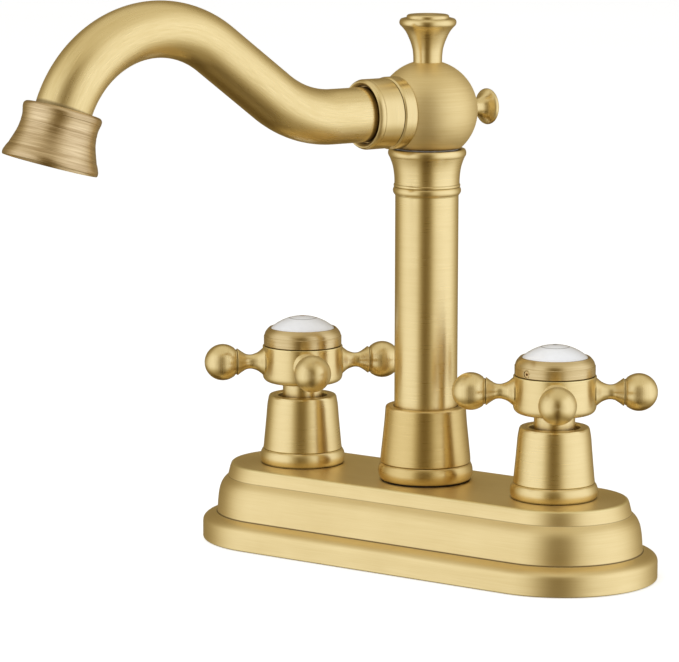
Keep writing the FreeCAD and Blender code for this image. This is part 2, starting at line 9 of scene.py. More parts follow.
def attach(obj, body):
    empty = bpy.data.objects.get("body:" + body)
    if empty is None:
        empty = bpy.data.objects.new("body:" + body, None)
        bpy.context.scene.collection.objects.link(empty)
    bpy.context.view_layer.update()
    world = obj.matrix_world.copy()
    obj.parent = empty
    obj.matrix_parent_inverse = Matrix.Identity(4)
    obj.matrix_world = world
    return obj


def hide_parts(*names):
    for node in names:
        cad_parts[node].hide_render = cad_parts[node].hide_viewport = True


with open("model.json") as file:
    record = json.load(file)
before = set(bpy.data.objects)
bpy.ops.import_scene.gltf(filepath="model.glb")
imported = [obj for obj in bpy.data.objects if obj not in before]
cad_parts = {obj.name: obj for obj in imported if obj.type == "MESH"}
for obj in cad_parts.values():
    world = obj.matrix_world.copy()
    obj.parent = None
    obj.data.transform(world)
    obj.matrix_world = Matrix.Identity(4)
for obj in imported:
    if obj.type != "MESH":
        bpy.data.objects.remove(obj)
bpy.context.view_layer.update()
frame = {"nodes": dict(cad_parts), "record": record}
SC = bpy.context.scene
MM = 0.001

# ------------------------------------------------------------------ camera
C = Vector((0.724758, -1.048044, 0.279155))
FWD = Vector((-0.57979092, 0.79937379, -0.15761989)).normalized()
UP = Vector((-0.09430993, 0.12631037, 0.98749751))
RIGHT = FWD.cross(UP).normalized()
UP = RIGHT.cross(FWD).normalized()
cam_data = bpy.data.cameras.new("camera")
cam = bpy.data.objects.new("camera", cam_data)
SC.collection.objects.link(cam)
cam.matrix_world = Matrix.Translation(C) @ Matrix((RIGHT, UP, -FWD)).transposed().to_4x4()
cam_data.sensor_fit = "HORIZONTAL"
cam_data.sensor_width = 36.0
cam_data.lens = 206.797
cam_data.clip_start = 0.01
cam_data.clip_end = 100.0
SC.camera = cam
SC.view_settings.view_transform = "Standard"
SC.view_settings.look = "None"
SC.view_settings.exposure = 0.0
SC.view_settings.gamma = 1.0

# ------------------------------------------------------------------ sizes, mm
HX = 50.8
HEAD = math.radians(20.0)
U = np.array([-math.sin(HEAD), -math.cos(HEAD), 0.0])
SPOUT_Z0 = 149.15
T_START, T1, R1, A1, L2, R2, BETA, L3, TIP_LEN = 22.7, 37.95, 37.7, 37.1, 26.9, 35.8, 17.0, 15.6, 17.8
TUBE_R, TUBE_ID = 8.95, 7.75
BALL_Z, BALL_R = 149.15, 16.5
ARM_Z = 60.9
AZ = {"hot": 43.5, "cold": 34.7}
SCREW_AZ = {"hot": 178.5, "cold": -11.8}
XH = {"hot": -HX, "cold": HX}

# ------------------------------------------------------------------ node helpers


class Tree:
    """Small helper for writing shader trees."""

    def __init__(self, name):
        self.mat = bpy.data.materials.new(name)
        self.mat.use_nodes = True
        self.nt = self.mat.node_tree
        self.nt.nodes.clear()
        self.out = self.nt.nodes.new("ShaderNodeOutputMaterial")
        self.bsdf = self.nt.nodes.new("ShaderNodeBsdfPrincipled")
        self.link(self.bsdf.outputs[0], self.out.inputs[0])

    def node(self, kind, **props):
        n = self.nt.nodes.new(kind)
        for k, v in props.items():
            setattr(n, k, v)
        return n

    def link(self, a, b):
        self.nt.links.new(a, b)

    def attr(self, name):
        n = self.node("ShaderNodeAttribute", attribute_name=name)
        return n

    def noise(self, vec, scale, detail=3.0, rough=0.55, dist=0.0):
        n = self.node("ShaderNodeTexNoise")
        n.inputs["Scale"].default_value = scale
        n.inputs["Detail"].default_value = detail
        n.inputs["Roughness"].default_value = rough
        n.inputs["Distortion"].default_value = dist
        self.link(vec, n.inputs["Vector"])
        return n.outputs["Fac"]

    def ramp(self, fac, stops):
        n = self.node("ShaderNodeValToRGB")
        els = n.color_ramp.elements
        while len(els) < len(stops):
            els.new(0.5)
        for e, (p, c) in zip(els, stops):
            e.position = p
            e.color = (c, c, c, 1) if isinstance(c, (int, float)) else (*c, 1)
        self.link(fac, n.inputs[0])
        return n.outputs[0]

    def rng(self, fac, a, b, lo, hi):
        n = self.node("ShaderNodeMapRange")
        n.inputs[1].default_value, n.inputs[2].default_value = a, b
        n.inputs[3].default_value, n.inputs[4].default_value = lo, hi
        self.link(fac, n.inputs[0])
        return n.outputs[0]

    def math(self, op, a, b=None, clamp=False):
        n = self.node("ShaderNodeMath", operation=op, use_clamp=clamp)
        for i, v in enumerate((a, b)):
            if v is None:
                continue
            if isinstance(v, (int, float)):
                n.inputs[i].default_value = v
            else:
                self.link(v, n.inputs[i])
        return n.outputs[0]

    def mix(self, fac, a, b, blend="MIX"):
        n = self.node("ShaderNodeMix", data_type="RGBA", blend_type=blend)
        for sock, v in ((n.inputs[0], fac), (n.inputs[6], a), (n.inputs[7], b)):
            if isinstance(v, (int, float)):
                sock.default_value = v
            elif isinstance(v, tuple):
                sock.default_value = (*v, 1)
            else:
                self.link(v, sock)
        return n.outputs[2]

    def bump(self, height, strength, dist, normal=None):
        n = self.node("ShaderNodeBump")
        n.inputs["Strength"].default_value = strength
        n.inputs["Distance"].default_value = dist
        self.link(height, n.inputs["Height"])
        if normal is not None:
            self.link(normal, n.inputs["Normal"])
        return n.outputs[0]


def brushed_gold(name, light, dark, rough, aniso, fine, coarse, contrast, bump, painted_shade_brown=(0.10, 0.055, 0.02)):
    """Satin brushed brass: hairlines along the brushing, slow tone drift,
    painted brown shade in the crevices and between parts, and paler worn edges."""
    t = Tree(name)
    b = t.bsdf
    b.inputs["Metallic"].default_value = 1.0
    b.inputs["Anisotropic"].default_value = aniso
    br = t.attr("brush").outputs["Vector"]
    wear_and_shade = t.attr("wear_and_shade").outputs["Fac"]
    lines = t.noise(br, fine, 4.0, 0.62)
    band = t.noise(br, coarse, 3.0, 0.55)
    co = t.node("ShaderNodeTexCoord").outputs["Object"]
    cloud = t.noise(co, 55.0, 3.0, 0.5)
    tone = t.math("ADD", t.math("MULTIPLY", t.rng(lines, 0.3, 0.7, 0, 1), 0.55 * contrast),
                  t.math("MULTIPLY", t.rng(band, 0.3, 0.7, 0, 1), 0.45 * contrast))
    tone = t.math("ADD", tone, t.math("MULTIPLY", t.rng(cloud, 0.3, 0.7, -0.5, 0.5), 0.22), clamp=True)
    col = t.mix(tone, light, dark)
    # worn edges are paler; concave corners and the spout tube's ends get painted brown shade
    edge = t.math("MULTIPLY", t.rng(wear_and_shade, 0.15, 1.0, 0.0, 0.40), 1.0, clamp=True)
    col = t.mix(edge, col, tuple(min(1.0, c * 1.22 + 0.05) for c in light))
    # painted shade: concave corners and the spout tube's ends darken towards brown
    crevice_shade = t.rng(wear_and_shade, -0.15, -1.0, 0.0, 0.85)
    col = t.mix(crevice_shade, col, painted_shade_brown)
    # painted shade: ambient occlusion darkens the colour towards brown in crevices and between parts
    ao = t.node("ShaderNodeAmbientOcclusion", samples=8)
    ao.inputs["Distance"].default_value = 0.0016
    shade = t.ramp(ao.outputs["AO"], [(0.0, 1.0), (0.30, 0.75), (0.62, 0.0)])
    col = t.mix(t.math("MULTIPLY", shade, 0.8), col, painted_shade_brown)
    t.link(col, b.inputs["Base Color"])
    r = t.math("ADD", t.rng(lines, 0.25, 0.75, rough - 0.05, rough + 0.07), t.rng(cloud, 0.3, 0.7, -0.02, 0.02))
    r = t.math("ADD", r, t.math("MULTIPLY", crevice_shade, 0.25), clamp=True)
    t.link(r, b.inputs["Roughness"])
    tan = t.node("ShaderNodeTangent", direction_type="UV_MAP", uv_map="tan")
    t.link(tan.outputs[0], b.inputs["Tangent"])
    h = t.math("ADD", t.math("MULTIPLY", lines, 0.7), t.math("MULTIPLY", band, 0.3))
    t.link(t.bump(h, bump, 0.00012), b.inputs["Normal"])
    return t.mat


GOLD_L, GOLD_D = (0.870, 0.705, 0.368), (0.765, 0.600, 0.280)
gold = brushed_gold("brushed_gold", GOLD_L, GOLD_D, 0.30, 0.72, 3200.0, 700.0, 0.5, 0.11)
gold_deck = brushed_gold("brushed_gold_deck", GOLD_L, GOLD_D, 0.40, 0.50, 3200.0, 700.0, 0.5, 0.11)
gold_tube = brushed_gold("brushed_gold_tube", GOLD_L, GOLD_D, 0.29, 0.62, 2600.0, 900.0, 1.0, 0.22)
gold_tip = brushed_gold("brushed_gold_tip", (0.93, 0.752, 0.462), (0.47, 0.328, 0.166), 0.32, 0.70, 4200.0, 900.0, 1.15, 0.50)
gold_ring = brushed_gold("brushed_gold_ring", (0.80, 0.645, 0.36), (0.58, 0.43, 0.20), 0.30, 0.72, 2600.0, 800.0, 1.0, 0.32)
gold_bell = brushed_gold("brushed_gold_bell", (0.74, 0.56, 0.245), (0.64, 0.475, 0.185), 0.30, 0.72, 3200.0, 700.0, 0.5, 0.12)
gold_ball = brushed_gold("brushed_gold_ball", GOLD_L, GOLD_D, 0.50, 0.0, 2600.0, 700.0, 0.7, 0.12)


def machined(name, light, dark, rough, metallic=1.0, scale=900.0, spec=0.5):
    """Turned or cast metal and plain mouldings inside: fine grain from the object's own space."""
    t = Tree(name)
    b = t.bsdf
    b.inputs["Metallic"].default_value = metallic
    b.inputs["Specular IOR Level"].default_value = spec
    co = t.node("ShaderNodeTexCoord").outputs["Object"]
    mp = t.node("ShaderNodeMapping")
    mp.inputs["Scale"].default_value = (1.0, 1.0, 7.0)
    t.link(co, mp.inputs["Vector"])
    n1 = t.noise(mp.outputs[0], scale, 4.0, 0.6)
    n2 = t.noise(co, 70.0, 3.0, 0.5)
    col = t.mix(t.math("ADD", t.rng(n1, 0.3, 0.7, 0, 0.6), t.rng(n2, 0.3, 0.7, 0, 0.4), clamp=True), light, dark)
    t.link(col, b.inputs["Base Color"])
    t.link(t.rng(n1, 0.25, 0.75, rough - 0.06, rough + 0.08), b.inputs["Roughness"])
    t.link(t.bump(n1, 0.25, 0.00008), b.inputs["Normal"])
    return t.mat


raw_brass = machined("raw_brass", (0.80, 0.60, 0.30), (0.58, 0.40, 0.17), 0.36)
steel = machined("steel_screw_metal", (0.62, 0.60, 0.57), (0.40, 0.38, 0.36), 0.33)
dark_screw = machined("dark_screw_metal", (0.20, 0.15, 0.09), (0.10, 0.07, 0.04), 0.42)
screen_steel = machined("screen_steel", (0.50, 0.47, 0.42), (0.28, 0.26, 0.23), 0.38)
rubber = machined("seal_rubber", (0.030, 0.030, 0.032), (0.015, 0.015, 0.016), 0.62, 0.0, 1600.0, 0.35)
foam = machined("foam_rubber", (0.060, 0.060, 0.062), (0.025, 0.025, 0.026), 0.85, 0.0, 1100.0, 0.2)
ptfe = machined("low_friction_plastic", (0.88, 0.87, 0.84), (0.80, 0.79, 0.76), 0.45, 0.0, 700.0, 0.4)
moulded = machined("aerator_plastic", (0.075, 0.068, 0.060), (0.040, 0.036, 0.032), 0.48, 0.0, 900.0, 0.4)
alumina = machined("lapped_alumina", (0.88, 0.87, 0.83), (0.80, 0.78, 0.74), 0.25, 0.0, 500.0, 0.5)


def porcelain(name, tint):
    """Glazed white button: clear coat, faint glaze pooling, a fine grey ring
    and a small tinted dot in place of any lettering."""
    t = Tree(name)
    b = t.bsdf
    b.inputs["Specular IOR Level"].default_value = 0.5
    b.inputs["Coat Weight"].default_value = 0.6
    b.inputs["Coat Roughness"].default_value = 0.03
    loc = t.attr("loc").outputs["Vector"]
    sep = t.node("ShaderNodeSeparateXYZ")
    t.link(loc, sep.inputs[0])
    r2 = t.math("ADD", t.math("MULTIPLY", sep.outputs[0], sep.outputs[0]), t.math("MULTIPLY", sep.outputs[1], sep.outputs[1]))
    r = t.math("SQRT", r2)
    n1 = t.noise(loc, 0.55, 3.0, 0.5)
    n2 = t.noise(loc, 6.0, 3.0, 0.6)
    col = t.mix(t.rng(n1, 0.3, 0.7, 0, 1), (0.935, 0.945, 0.965), (0.90, 0.91, 0.93))
    dist = t.math("ABSOLUTE", t.math("SUBTRACT", r, 4.5))
    line = t.rng(dist, 0.16, 0.26, 1.0, 0.0)
    line = t.math("MULTIPLY", line, t.rng(n2, 0.35, 0.6, 0.65, 0.95), clamp=True)
    col = t.mix(line, col, (0.36, 0.36, 0.37))
    dot = t.rng(r, 0.85, 1.0, 0.85, 0.0)
    col = t.mix(dot, col, tint)
    t.link(col, b.inputs["Base Color"])
    t.link(t.rng(n2, 0.3, 0.7, 0.07, 0.12), b.inputs["Roughness"])
    t.link(t.bump(n1, 0.12, 0.00006), b.inputs["Normal"])
    return t.mat


porcelain_hot = porcelain("porcelain_hot", (0.42, 0.22, 0.20))
porcelain_cold = porcelain("porcelain_cold", (0.22, 0.28, 0.42))

# ------------------------------------------------------------------ profiles


def smooth_run(pts, step=0.45):
    """Centripetal-like Catmull-Rom through pts."""
    p = [np.array(q, float) for q in pts]
    p = [2 * p[0] - p[1]] + p + [2 * p[-1] - p[-2]]
    out = []
    for i in range(1, len(p) - 2):
        a, b, c, d = p[i - 1], p[i], p[i + 1], p[i + 2]
        n = max(2, int(np.linalg.norm(c - b) / step))
        for k in range(n):
            t = k / n
            out.append(0.5 * ((2 * b) + (-a + c) * t + (2 * a - 5 * b + 4 * c - d) * t * t + (-a + 3 * b - 3 * c + d) * t ** 3))
    out.append(p[-2])
    return [tuple(q) for q in out]


def arc3(a, m, b, n=14):
    """Points on the circle through a, m, b, from a to b."""
    ax, ay, bx, by, cx, cy = *a, *m, *b
    d = 2 * (ax * (by - cy) + bx * (cy - ay) + cx * (ay - by))
    ux = ((ax * ax + ay * ay) * (by - cy) + (bx * bx + by * by) * (cy - ay) + (cx * cx + cy * cy) * (ay - by)) / d
    uy = ((ax * ax + ay * ay) * (cx - bx) + (bx * bx + by * by) * (ax - cx) + (cx * cx + cy * cy) * (bx - ax)) / d
    r = math.hypot(ax - ux, ay - uy)
    t0, tm, t1 = (math.atan2(q[1] - uy, q[0] - ux) for q in (a, m, b))
    two = 2 * math.pi
    ccw = ((tm - t0) % two) < ((t1 - t0) % two)
    sweep = (t1 - t0) % two if ccw else -((t0 - t1) % two)
    return [(ux + r * math.cos(t0 + sweep * i / n), uy + r * math.sin(t0 + sweep * i / n)) for i in range(n + 1)]


def profile(items, fillet=0.15, step=1.1):
    """items: (r, z) or (r, z, fillet) corners, ("s", pts) smooth runs and
    ("a", mid, end) arcs.  Returns r, z, s (run length) and w, a corner mark:
    positive on convex corners (paler wear), negative on concave ones (painted
    shade), with the corners rounded and held by close support points."""
    pts = []          # (r, z, fillet)
    for it in items:
        if it[0] == "s":
            run = smooth_run([pts[-1][:2]] + list(it[1]))
            pts += [(*q, 0.0) for q in run[1:-1]] + [(*run[-1], fillet)]
        elif it[0] == "a":
            run = arc3(pts[-1][:2], it[1], it[2])
            pts += [(*q, 0.0) for q in run[1:-1]] + [(*run[-1], fillet)]
        else:
            pts.append((it[0], it[1], it[2] if len(it) > 2 else fillet))
    on_axis = pts[0][0] < 1e-6 and pts[-1][0] < 1e-6
    q = [np.array(p[:2]) for p in pts]
    n = len(q)
    area = sum(q[i][0] * q[(i + 1) % n][1] - q[(i + 1) % n][0] * q[i][1] for i in range(n))
    if area < 0:
        pts, q = pts[::-1], q[::-1]
    out = []          # (point, wear)
    for i in range(n):
        if on_axis and i in (0, n - 1):
            out.append((q[i], 0.0))
            continue
        a, b, c = q[i - 1], q[i], q[(i + 1) % n]
        va, vc = a - b, c - b
        la, lc = np.linalg.norm(va), np.linalg.norm(vc)
        if la < 1e-9 or lc < 1e-9:
            continue
        va, vc = va / la, vc / lc
        cosang = float(np.clip(np.dot(va, vc), -1, 1))
        turn = math.pi - math.acos(cosang)
        f = pts[i][2]
        if turn < math.radians(9) or f <= 0:
            out.append((b, 0.0))
            continue
        side = 1.0 if (-va[0] * vc[1] + va[1] * vc[0]) > 0 else -1.0
        d = min(f * math.tan(turn / 2), 0.42 * la, 0.42 * lc)
        rr = d / math.tan(turn / 2)
        p0, p1 = b + va * d, b + vc * d
        cen = b + (va + vc) / np.linalg.norm(va + vc) * (rr / math.cos(turn / 2))
        k = max(3, int(math.degrees(turn) / 14))
        # corner mark: convex corners get paler wear, concave corners get painted shade
        w = side * min(1.0, turn / math.radians(60))
        sup = min(0.18, 0.25 * min(la, lc))
        if la - d > 2.2 * sup:
            out.append((p0 + va * sup, 0.0))
        v0, v1 = p0 - cen, p1 - cen
        for j in range(k + 1):
            t = j / k
            om = math.pi - (math.pi - turn)
            v = (math.sin((1 - t) * om) * v0 + math.sin(t * om) * v1) / max(1e-9, math.sin(om)) if om < math.pi - 1e-3 else v0
            v = v / max(1e-9, np.linalg.norm(v)) * rr
            out.append((cen + v, w * (1.0 if 0 < j < k else 0.55)))
        if lc - d > 2.2 * sup:
            out.append((p1 + vc * sup, 0.0))
    # divide the long segments
    fine = []
    m = len(out)
    for i in range(m if not on_axis else m - 1):
        a, b = out[i], out[(i + 1) % m]
        fine.append(a)
        length = np.linalg.norm(b[0] - a[0])
        k = int(length / step)
        for j in range(1, k + 1):
            t = j / (k + 1)
            fine.append((a[0] * (1 - t) + b[0] * t, a[1] * (1 - t) + b[1] * t))
    if on_axis:
        fine.append(out[-1])
    P = np.array([f[0] for f in fine])
    W = np.array([f[1] for f in fine])
    keep = [0]
    for i in range(1, len(P)):
        if np.linalg.norm(P[i] - P[keep[-1]]) > 0.012:
            keep.append(i)
    P, W = P[keep], W[keep]
    if on_axis:
        P[0][0] = P[-1][0] = 0.0
    S = np.concatenate([[0], np.cumsum(np.linalg.norm(np.diff(P, axis=0), axis=1))])
    return {"r": P[:, 0], "z": P[:, 1], "s": S, "w": W, "axis": on_axis}


# ------------------------------------------------------------------ meshes


def finish_mesh(name, co, faces, brush, wear_and_shade, uvs, mat, loc=None):
    me = bpy.data.meshes.new(name)
    me.from_pydata([tuple(c * MM) for c in co], [], faces)
    a = me.attributes.new("brush", "FLOAT_VECTOR", "POINT")
    a.data.foreach_set("vector", (np.asarray(brush) * MM).astype(np.float32).ravel())
    a = me.attributes.new("wear_and_shade", "FLOAT", "POINT")
    a.data.foreach_set("value", np.asarray(wear_and_shade, np.float32))
    if loc is not None:
        a = me.attributes.new("loc", "FLOAT_VECTOR", "POINT")
        a.data.foreach_set("vector", np.asarray(loc, np.float32).ravel())
    uv = me.uv_layers.new(name="tan")
    uv.data.foreach_set("uv", (np.asarray(uvs, np.float32) * MM * 10).ravel())
    me.polygons.foreach_set("use_smooth", np.ones(len(me.polygons), bool))
    me.materials.append(mat)
    me.validate()
    me.update()
    o = bpy.data.objects.new(name, me)
    SC.collection.objects.link(o)
    return o


LIFT = 1.0 / 45.0      # how much slower the hairline pattern runs along a line than across it


def turned(name, items, mat, place=None, segs=128, fillet=0.15, step=1.1, seam=90.0, with_loc=False):
    """A piece turned about Z from its profile, then moved by place (4x4, mm)."""
    p = profile(items, fillet, step)
    r, z, s, w = p["r"], p["z"], p["s"], p["w"]
    n = len(r)
    th = math.radians(seam) + np.arange(segs) * 2 * math.pi / segs
    co, brush, wear_and_shade, loc, index = [], [], [], [], []
    for i in range(n):
        row = []
        if p["axis"] and i in (0, n - 1):
            co.append((0, 0, z[i])); brush.append((0, 0, s[i])); wear_and_shade.append(w[i]); loc.append((0, 0, z[i]))
            row = [len(co) - 1] * segs
        else:
            for a in th:
                x, y = r[i] * math.cos(a), r[i] * math.sin(a)
                co.append((x, y, z[i])); brush.append((x * LIFT, y * LIFT, s[i] + z[i] * LIFT)); wear_and_shade.append(w[i]); loc.append((x, y, z[i]))
                row.append(len(co) - 1)
        index.append(row)
    faces, uvs = [], []
    rows = n if not p["axis"] else n - 1
    for i in range(rows):
        i2 = (i + 1) % n
        s0, s1 = s[i], (s[i2] if i2 else s[i] + math.hypot(r[0] - r[i], z[0] - z[i]))
        for j in range(segs):
            j2 = (j + 1) % segs
            a, b, c, d = index[i][j], index[i][j2], index[i2][j2], index[i2][j]
            ua, ub = j * 2.0, (j + 1) * 2.0
            if a == b:
                faces.append((a, c, d)); uvs += [(s0, ua), (s1, ub), (s1, ua)]
            elif c == d:
                faces.append((a, b, c)); uvs += [(s0, ua), (s0, ub), (s1, ua)]
            else:
                faces.append((a, b, c, d)); uvs += [(s0, ua), (s0, ub), (s1, ub), (s1, ua)]
    co = np.array(co, float)
    if place is not None:
        co = co @ place[:3, :3].T + place[:3, 3]
    return finish_mesh(name, co, faces, brush, wear_and_shade, uvs, mat, loc if with_loc else None)


def place_along(origin, direction):
    """4x4 (numpy, mm) that carries +Z onto direction at origin."""
    d = Vector(direction).normalized()
    q = Vector((0, 0, 1)).rotation_difference(d)
    m = np.eye(4)
    m[:3, :3] = np.array(q.to_matrix())
    m[:3, 3] = origin
    return m


def shift(x=0.0, y=0.0, z=0.0):
    m = np.eye(4)
    m[:3, 3] = (x, y, z)
    return m


def plan_dir(az):
    a = math.radians(az)
    return np.array([math.sin(a), -math.cos(a), 0.0])


def bore(obj, centre, direction, r, length, segs=40):
    """Drill a round hole in a finished mesh."""
    bm = bmesh.new()
    bmesh.ops.create_cone(bm, cap_ends=True, segments=segs, radius1=r * MM, radius2=r * MM, depth=length * MM)
    me = bpy.data.meshes.new("drill")
    bm.to_mesh(me)
    bm.free()
    d = bpy.data.objects.new("drill", me)
    SC.collection.objects.link(d)
    q = Vector((0, 0, 1)).rotation_difference(Vector(direction))
    d.matrix_world = Matrix.Translation(Vector(centre) * MM) @ q.to_matrix().to_4x4()
    bpy.context.view_layer.update()
    m = obj.modifiers.new("drill", "BOOLEAN")
    m.operation, m.object, m.solver = "DIFFERENCE", d, "EXACT"
    dg = bpy.context.evaluated_depsgraph_get()
    new = bpy.data.meshes.new_from_object(obj.evaluated_get(dg))
    obj.modifiers.clear()
    old = obj.data
    obj.data = new
    bpy.data.meshes.remove(old)
    bpy.data.objects.remove(d)
    bpy.data.meshes.remove(me)


def stadium(name, items, cx, mat, fillet=0.2, step=1.4, n_end=56, n_side=26):
    """A piece whose section is carried round a stadium (two round ends)."""
    p = profile(items, fillet, step)
    r, z, s, w = p["r"], p["z"], p["s"], p["w"]
    ring = []        # (centre x, unit normal, run)
    run = 0.0
    for k in range(n_end):
        a = -math.pi / 2 + math.pi * k / n_end
        ring.append((cx, math.cos(a), math.sin(a)))
    for k in range(n_side):
        ring.append((cx - 2 * cx * k / n_side, 0.0, 1.0))
    for k in range(n_end):
        a = math.pi / 2 + math.pi * k / n_end
        ring.append((-cx, math.cos(a), math.sin(a)))
    for k in range(n_side):
        ring.append((-cx + 2 * cx * k / n_side, 0.0, -1.0))
    m, n = len(ring), len(r)
    co, brush, wear_and_shade = [], [], []
    for i in range(n):
        for cxx, nx, ny in ring:
            x, y = cxx + nx * r[i], ny * r[i]
            co.append((x, y, z[i])); brush.append((x * LIFT, y * LIFT, s[i] + z[i] * LIFT)); wear_and_shade.append(w[i])
    faces, uvs = [], []
    for i in range(n - 1):
        for j in range(m):
            j2 = (j + 1) % m
            faces.append((i * m + j, i * m + j2, (i + 1) * m + j2, (i + 1) * m + j))
            uvs += [(s[i], j * 2.0), (s[i], j * 2.0 + 2), (s[i + 1], j * 2.0 + 2), (s[i + 1], j * 2.0)]
    o = finish_mesh(name, np.array(co), faces, brush, wear_and_shade, uvs, mat)
    bm = bmesh.new()
    bm.from_mesh(o.data)
    bmesh.ops.remove_doubles(bm, verts=bm.verts, dist=1e-6)
    bm.to_mesh(o.data)
    bm.free()
    return o


def put(piece, body, *nodes, slot="brushed_gold"):
    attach(piece, body)
    if nodes:
        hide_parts(*nodes)
    return piece


# ------------------------------------------------------------------ base
BASE_R, BASE_H = 32.15, 26.06
base_items = [
    (0, 22.56), (21.25, 22.56, 0.8), (21.25, 16.5, 0.8), (23.95, 16.5, 0.8), (23.95, 7.0, 0.8), (28.55, 7.0, 0.6),
    (28.55, 3.0, 0.1), (29.75, 3.0, 0.1), (29.75, 0.0, 0.25), (BASE_R, 0.0, 0.6), (BASE_R, 5.7, 0.1),
    ("s", [(32.02, 6.5), (31.62, 7.2), (30.9, 7.8), (29.95, 8.25), (28.9, 8.58), (27.95, 8.85)]),
    (27.35, 9.1, 0.5), (27.2, 9.9, 0.3),
    ("s", [(27.05, 12.5), (26.85, 14.6), (26.6, 16.2), (26.3, 17.5), (25.85, 18.7), (25.2, 19.8), (24.5, 20.6)]),
    (23.6, 21.45, 0.45),
    ("s", [(23.25, 22.9), (22.85, 24.5)]),
    (22.3, BASE_H, 1.0), (0, BASE_H),
]
deck = stadium("base_plate_shell", base_items, 53.0, gold_deck)
for x in (-HX, 0.0, HX):
    bore(deck, (x, 0, 25.0), (0, 0, 1), 11.6, 8.0, 72)
put(deck, "base", "deck_plate")

# ------------------------------------------------------------------ bells
bell_items = [
    (11.2, 26.06, 0.05), (13.7, 26.06, 0.25),
    ("a", (14.35, 28.35), (13.72, 30.65)),
    (13.42, 30.95, 0.05), (13.12, 31.12, 0.08), (13.32, 31.4, 0.1),
    ("s", [(13.18, 32.4), (12.98, 34.6), (12.66, 38.0), (12.30, 42.0), (11.96, 46.0), (11.5, 48.7)]),
    (11.2, 49.4, 0.5), (8.35, 49.4, 0.45), (8.35, 46.8), (9.9, 46.8), (9.9, 36.6), (11.2, 36.2),
]
for tag in ("hot", "cold"):
    o = turned(tag + "_bell_shell", bell_items, gold, shift(XH[tag]), 144)
    put(o, "base", tag + "_bell")

cbell_items = [
    (11.2, 26.5, 0.05), (14.85, 26.5, 0.25),
    ("a", (15.73, 29.1), (15.18, 31.65)),
    (14.92, 31.95, 0.05), (14.62, 32.12, 0.08), (14.98, 32.42, 0.1),
    ("s", [(14.92, 34.0), (14.5, 38.0), (14.08, 42.0), (13.68, 46.0), (13.46, 49.0)]),
    (13.3, 51.05, 0.7), (10.55, 51.05, 0.35), (10.55, 48.5), (11.6, 48.5), (11.6, 36.5), (11.2, 36.2),
]
put(turned("column_bell_shell", cbell_items, gold_bell, None, 160), "base", "column_bell")
gring = turned("column_gasket_ring", [(11.25, 26.06, 0.05), (14.0, 26.06, 0.1), (14.0, 26.5, 0.1), (11.25, 26.5, 0.05)], rubber, None, 96)
put(gring, "base", "column_gasket", slot="rubber_seal")

# ------------------------------------------------------------------ column
put(turned("column_tube_skin", [(9.2, 36.0, 0.1), (10.43, 36.0, 0.2), (10.43, 121.2, 0.12), (9.2, 121.2, 0.1)], gold, None, 144, step=2.0),
    "base", "column_tube")
cap_items = [
    (9.2, 121.2, 0.05), (10.5, 121.2, 0.15), (10.62, 121.55, 0.1),
    ("a", (11.22, 122.75), (10.95, 123.85)), (10.68, 124.1, 0.08), (10.98, 124.35, 0.12), (10.98, 124.85, 0.12), (10.74, 125.1, 0.12),
    (10.72, 126.0, 0.1),
    ("s", [(10.78, 127.4), (10.90, 128.6), (11.13, 130.1), (11.5, 131.6), (12.0, 133.0), (12.42, 134.0)]),
    ("a", (12.88, 135.25), (12.45, 136.5)),
    (7.95, 136.5, 0.05), (7.95, 124.9), (9.2, 124.9),
]
cap = turned("column_capital_skin", cap_items, gold, None, 144)
bore(cap, (0, 10.5, 130.0), (0, 1, 0), 2.0, 8.0, 32)
put(cap, "base", "column_capital")
washer = turned("swivel_washer_ring", [(8.2, 136.5, 0.02), (10.3, 136.5, 0.05), (10.3, 136.85, 0.05), (8.2, 136.85, 0.02)], ptfe, None, 96)
put(washer, "base", "swivel_washer", slot="ptfe")

# ------------------------------------------------------------------ handles
hub_items = [
    (4.05, 46.5, 0.1), (6.7, 46.5, 0.3), (6.7, 53.9, 0.5),
    (11.1, 53.9, 0.1), ("a", (12.8, 54.55), (13.5, 55.95)), (13.55, 56.3, 0.1),
    (13.55, 66.3, 0.28), (11.0, 66.3, 0.05), (11.0, 69.7, 0.1), (8.4, 69.7), (8.4, 60.0), (4.05, 60.0),
]
arm_items = [
    (0, 9.2), (2.5, 9.2, 0.3), (2.5, 12.4, 0.02), (4.75, 12.4, 0.05), (4.75, 13.3, 0.12),
    ("s", [(4.1, 14.1), (3.3, 15.1), (2.75, 16.3), (2.42, 17.7), (2.6, 19.2), (3.2, 20.3), (3.8, 21.2), (4.4, 22.0)]),
    (4.52, 22.15, 0.04), (4.5, 22.36, 0.04), (4.05, 22.5, 0.04), (4.3, 22.76, 0.06), (4.24, 22.98, 0.04),
]
AB = 6.15
arm_items += [("s", [(AB * math.sin(a), 27.2 - AB * math.cos(a)) for a in np.linspace(math.asin(4.6 / AB) + 0.03, math.pi - 0.02, 24)]), (0, 27.2 + AB)]
ring_items = [
    (11.0, 66.45, 0.05), (12.93, 66.45, 0.1), (13.15, 66.68, 0.1), (13.15, 69.55, 0.04), (12.99, 69.74, 0.04),
    ("s", [(12.78, 70.5), (12.45, 71.12), (12.02, 71.68), (11.6, 72.1)]),
    ("a", (11.25, 72.36), (10.95, 72.35)),
    (10.8, 72.15, 0.06), (10.8, 69.75), (11.0, 69.75),
]
RISE, EDGE = 4.05, 10.72
RS = (EDGE ** 2 + RISE ** 2) / (2 * RISE)
button_items = [(0, 67.6), (8.2, 67.6), (8.2, 69.75), (EDGE, 69.75), (EDGE, 72.1, 0.2)]
button_items += [("s", [(RS * math.sin(a), 72.25 + RISE - RS + RS * math.cos(a)) for a in np.linspace(math.asin(EDGE / RS) - 0.02, 0.02, 18)]), (0, 76.3)]

